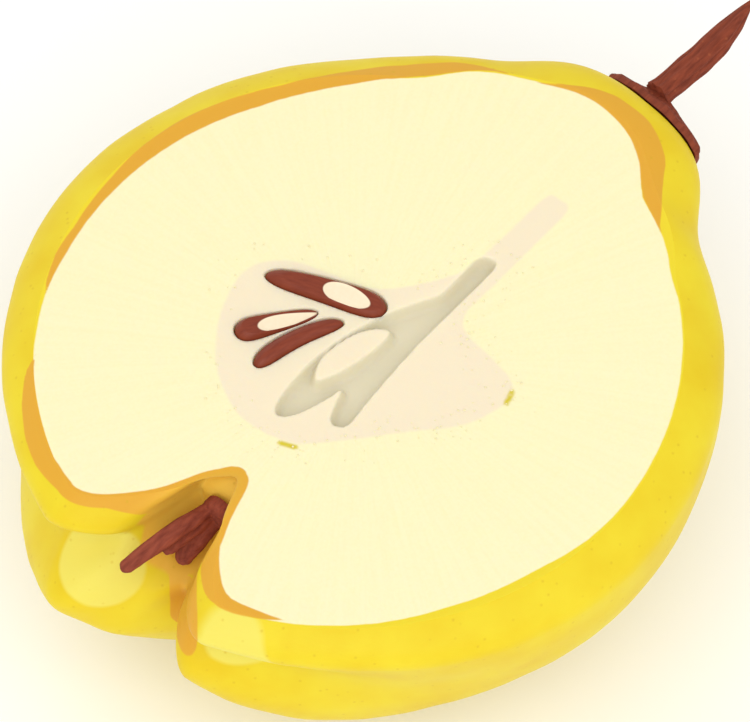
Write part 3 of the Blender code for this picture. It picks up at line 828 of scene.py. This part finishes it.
def stemMesh():
    s = stem
    turn = 2 * math.pi * np.arange(s["segments"]) / s["segments"]
    ragged = np.array([noise.noise(Vector((math.cos(t) * 3, math.sin(t) * 3, 5))) for t in turn])
    ridges = np.cos(s["ridges"] * turn + 1.2 * np.sin(2 * turn))

    def collarRing(share, lift):
        radius = s["collarRadius"] * share * (1 + 0.05 * ragged * share ** 2)
        y = radius * np.cos(turn) + s["collarShift"] * share
        z = radius * np.sin(turn)
        z = np.where(z > 0, z * s["collarTop"] / s["collarRadius"], z)
        lift = lift * (1 + 0.12 * ridges * share)
        return np.stack([shoulderX(y, z) + lift, y, z + axisHeight], -1)

    under = [collarRing(share, gap) for share in np.linspace(0.15, 1.0, 10)]
    over = [collarRing(share, gap + s["collarThickness"] * lift) for share, lift in (
        (1.02, 0.45), (1.01, 0.8), (0.97, 1.0), (0.88, 1.05), (0.78, 1.12), (0.66, 1.22),
        (0.54, 1.38), (0.42, 1.62), (0.33, 1.9))]
    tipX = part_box("stem")[1].x
    rootX = tipX - s["length"]
    shares, widths = np.array(s["radii"]).T
    twig = []
    for share in np.linspace(0.0, 1.0, s["rings"]):
        radius = np.interp(share, shares, widths) * mm
        ridge = 1 + s["ridgeHeight"] * ridges * (1 - 0.4 * share)
        knots = np.array([noise.noise(Vector((share * 7, math.cos(t) * 1.3, math.sin(t) * 1.3)))
                          for t in turn])
        reach = radius * (ridge + s["knots"] * knots)
        centreY = s["shift"] + s["bow"] * math.sin(math.pi * share)
        twig.append(np.stack([np.full(len(turn), rootX + s["length"] * share),
                              centreY + reach * np.cos(turn),
                              axisHeight + s["rise"] * share + reach * np.sin(turn)], -1))
    heel = (float(shoulderX(np.zeros(1), np.zeros(1))[0]) + gap, 0, axisHeight)
    tip = (tipX, s["shift"], axisHeight + s["rise"])
    mesh = lofted("stem", under + over + twig, (heel, tip))
    shade(mesh, 60)
    return mesh


twig = addObject("woodyStem", stemMesh(), [materials["bark"]])
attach(twig, "root")
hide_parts("stem")
print("stem made")


calyx = {  # millimetres from the floor of the eye
    "stubRadius": 2.4, "stubLength": 2.0, "stubRings": ((0.0, 1.0), (0.5, 0.97), (0.85, 0.75)),
    "segments": 40, "rings": 32, "arch": 0.6, "flatness": 0.62, "foldDepth": 0.22,
    "foldWidth": 0.5, "wrinkle": 0.16, "voxel": 0.13, "easeSteps": 3, "easeLoss": 0.06,
    "sepals": [
        {"root": (-0.6, 1.0, 0.4), "tip": (-16.0, 2.6, 2.0), "width": 1.2},
        {"root": (-0.6, 0.6, -0.4), "tip": (-8.8, 2.1, -1.8), "width": 1.2},
        {"root": (-0.6, 0.2, -0.8), "tip": (-7.8, 0.5, -4.0), "width": 1.4}],
}


def calyxMesh():
    c = calyx
    turn = 2 * math.pi * np.arange(c["segments"]) / c["segments"]
    stub = [np.stack([np.full(len(turn), -c["stubLength"] * share),
                      c["stubRadius"] * width * np.cos(turn),
                      c["stubRadius"] * width * np.sin(turn)], -1)
            for share, width in c["stubRings"]]
    parts = [lofted("stub", stub, ((0, 0, 0), (-c["stubLength"], 0, 0)))]
    fold = 1 - c["foldDepth"] * np.exp(-((turn - math.pi / 2) / c["foldWidth"]) ** 2)
    for sepal in c["sepals"]:
        root, tip = Vector(sepal["root"]), Vector(sepal["tip"])
        run = (tip - root).normalized()
        side = run.cross(Vector((0, 0, 1))).normalized()
        up = side.cross(run)
        tipShare = 0.8 * sepal["width"] / (tip - root).length
        rounded = 1 - tipShare + tipShare * np.sin(np.linspace(0, math.pi / 2, 8)[1:-1])
        rings = []
        for share in [*np.linspace(0, 1 - tipShare, c["rings"]), *rounded]:
            close = max(0, (share - 1 + tipShare) / tipShare)
            width = (sepal["width"] * (0.75 + 0.25 * math.sin(math.pi * share))
                     * (1 - close ** 2) ** 0.5 + c["easeLoss"])
            centre = root.lerp(tip, share) + up * c["arch"] * math.sin(math.pi * share)
            rings.append(np.array([centre + side * width * math.cos(t)
                                   + up * c["flatness"] * width * math.sin(t) * f
                                   for t, f in zip(turn, fold)]))
        parts.append(lofted("sepal", rings, (root, tip)))
    bm = bmesh.new()
    for part in parts:
        bm.from_mesh(part)
    mesh = bpy.data.meshes.new("calyx parts")
    bm.to_mesh(mesh)
    bm.free()
    base = addObject("calyx parts", mesh)
    fuse = base.modifiers.new("fuse", "REMESH")
    fuse.mode = "VOXEL"
    fuse.voxel_size = c["voxel"]
    ease = base.modifiers.new("ease", "SMOOTH")
    ease.iterations = c["easeSteps"]
    fused = bpy.data.meshes.new_from_object(
        base.evaluated_get(bpy.context.evaluated_depsgraph_get()))
    bpy.data.objects.remove(base)
    for vert in fused.vertices:  # papery wrinkles that run lengthways
        wrinkle = noise.noise(Vector((vert.co.x * 0.35, vert.co.y * 1.9, vert.co.z * 1.9)))
        vert.co += vert.normal * c["wrinkle"] * wrinkle * min(1, -vert.co.x)
    floor = fruitPoint(np.array(math.pi), np.array(0.0))
    fused.transform(Matrix.Translation(Vector(floor) - Vector((gap, 0, 0))) @ Matrix.Scale(mm, 4))
    fused.shade_smooth()
    return fused


sepals = addObject("driedCalyx", calyxMesh(), [materials["sepal"]])
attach(sepals, "root")
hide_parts("calyx")
print("calyx:", len(sepals.data.vertices), "points")


grit = {"density": 6.0e5, "size": 0.00016, "reach": 2.2, "seed": 11, "spacing": 0.8,
        "fromPips": 3.2, "sunk": 0.00003}


def gritTree():  # pale grains scattered by a density field and half sunk in the face
    tree, given = newTree("quince stone cells", {"Density": "Float", "Grain Size": "Float",
                                                 "Seed": "Int", "Grain": "Material"})
    field = addNode(tree, "GeometryNodeInputNamedAttribute", {"Name": "gritShare"})
    density = addNode(tree, "ShaderNodeMath", {0: field, 1: given["Density"]},
                      operation="MULTIPLY")
    points = addNode(tree, "GeometryNodeDistributePointsOnFaces", {
        "Mesh": given["Geometry"], "Density": density, "Seed": given["Seed"]})
    grain = addNode(tree, "GeometryNodeMeshIcoSphere", {"Radius": given["Grain Size"],
                    "Subdivisions": 1})
    turn = addNode(tree, "FunctionNodeRandomValue", {"Max": (6.28, 6.28, 6.28), "Seed": 3},
                   data_type="FLOAT_VECTOR")
    size = addNode(tree, "FunctionNodeRandomValue", {2: 0.55, 3: 1.25, "Seed": 5}).outputs[1]
    placed = addNode(tree, "GeometryNodeInstanceOnPoints", {
        "Points": points, "Instance": grain, "Rotation": turn, "Scale": size})
    real = addNode(tree, "GeometryNodeRealizeInstances", {0: placed})
    smoothed = addNode(tree, "GeometryNodeSetShadeSmooth", {0: real})
    done = addNode(tree, "GeometryNodeSetMaterial", {"Geometry": smoothed,
                   "Material": given["Grain"]})
    addNode(tree, "NodeGroupOutput", {"Geometry": done})
    return tree


def gritBase():  # the ring of flesh round the core as a flat grid with a density on each point
    steps = np.arange(-24, 24 + grit["spacing"], grit["spacing"])
    grid = np.array([(x, y) for y in steps for x in steps])
    inside = insideDistance(grid, smoothOutline(core["outline"]))
    share = np.exp(-(inside / grit["reach"]) ** 2)
    clear = np.minimum.reduce([-hollowField(grid)] + [
        routeDistance(grid, np.array([pip["inner"], pip["outer"]])) - grit["fromPips"]
        for pip in pips.values()])
    share = share * (clear > 0.8)
    level = cutHeight - grit["sunk"]
    side = len(steps)
    faces = [(r * side + c, r * side + c + 1, (r + 1) * side + c + 1, (r + 1) * side + c)
             for r in range(side - 1) for c in range(side - 1)]
    mesh = meshFrom("grit base", np.column_stack([grid * mm, np.full(len(grid), level)]), faces)
    setField(mesh, "gritShare", share)
    return addObject("grit base", mesh)


grains = grow("stoneCells", gritBase(), gritTree(), {
    "Density": grit["density"], "Grain Size": grit["size"], "Seed": grit["seed"],
    "Grain": materials["grit"]})
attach(grains, "root")
print("stone cells:", len(grains.data.polygons) // 20)


studio = {
    "worldLight": 0.84, "lightSize": 1.6, "lightDistance": 1.6, "lights": {  # towards it, power
        "keyLight": ((-0.6, -0.45, 0.9), 11.4), "fillLight": ((0.2, -1.0, 0.55), 11.4 * 0.25),
        "backLight": ((0.2, 1.0, 0.5), 11.4 * 0.35)},
    "floorHalf": 6.0, "cameraDistance": 3.2, "viewDepth": 20, "filmWidth": 36,
    "azimuth": -48, "elevation": 58,
    "frameWidth": 0.09375,  # width of the view at the cut face
    "aside": (0.001125, -0.000875),  # centre of the view, right and up from the core axis
}


board = {"white": "#FBFBFA", "greyer": "#F9F9F8", "mottle": 40.0,
         "surface": {"Roughness": 0.95, "Specular IOR Level": 0.1}}


def makeStudio():
    scene = bpy.context.scene
    scene.view_settings.view_transform = "Standard"
    world = bpy.data.worlds.new("soft white studio")
    scene.world = world
    world.use_nodes = True
    world.node_tree.nodes["Background"].inputs["Color"].default_value = (1, 1, 1, 1)
    world.node_tree.nodes["Background"].inputs["Strength"].default_value = studio["worldLight"]
    half = studio["floorHalf"]
    sheet = meshFrom("studio floor", [(-half, -half, 0), (half, -half, 0), (half, half, 0),
                                      (-half, half, 0)], [(0, 1, 2, 3)])
    paint, tree, place = startMaterial("matt white studio board")
    tone = addNode(tree, "ShaderNodeTexNoise", {"Vector": place, "Scale": board["mottle"]})
    colour = layered(tree, board["white"], (tone, board["greyer"]))
    floor = addObject("studioFloor", sheet, [finishMaterial(paint, board, colour)])
    azimuth, elevation = math.radians(studio["azimuth"]), math.radians(studio["elevation"])
    back = Vector((math.sin(azimuth) * math.cos(elevation),
                   -math.cos(azimuth) * math.cos(elevation), math.sin(elevation)))
    right = Vector((math.cos(azimuth), math.sin(azimuth), 0))
    up = back.cross(right)
    target = Vector((0, 0, cutHeight)) + right * studio["aside"][0] + up * studio["aside"][1]
    camera = bpy.data.objects.new("camera", bpy.data.cameras.new("camera"))
    camera.data.sensor_width = studio["filmWidth"]
    camera.data.lens = studio["filmWidth"] * studio["cameraDistance"] / studio["frameWidth"]
    camera.data.clip_end = studio["viewDepth"]
    camera.location = target + back * studio["cameraDistance"]
    camera.rotation_euler = back.to_track_quat("Z", "Y").to_euler()
    scene.collection.objects.link(camera)
    scene.camera = camera
    for name, (towards, power) in studio["lights"].items():
        aim = Vector(towards)
        light = bpy.data.objects.new(name, bpy.data.lights.new(name, "AREA"))
        light.data.shape = "SQUARE"
        light.data.size = studio["lightSize"]
        light.data.energy = power
        light.location = aim.normalized() * studio["lightDistance"]
        light.rotation_euler = aim.to_track_quat("Z", "Y").to_euler()
        scene.collection.objects.link(light)


makeStudio()
print("studio set")
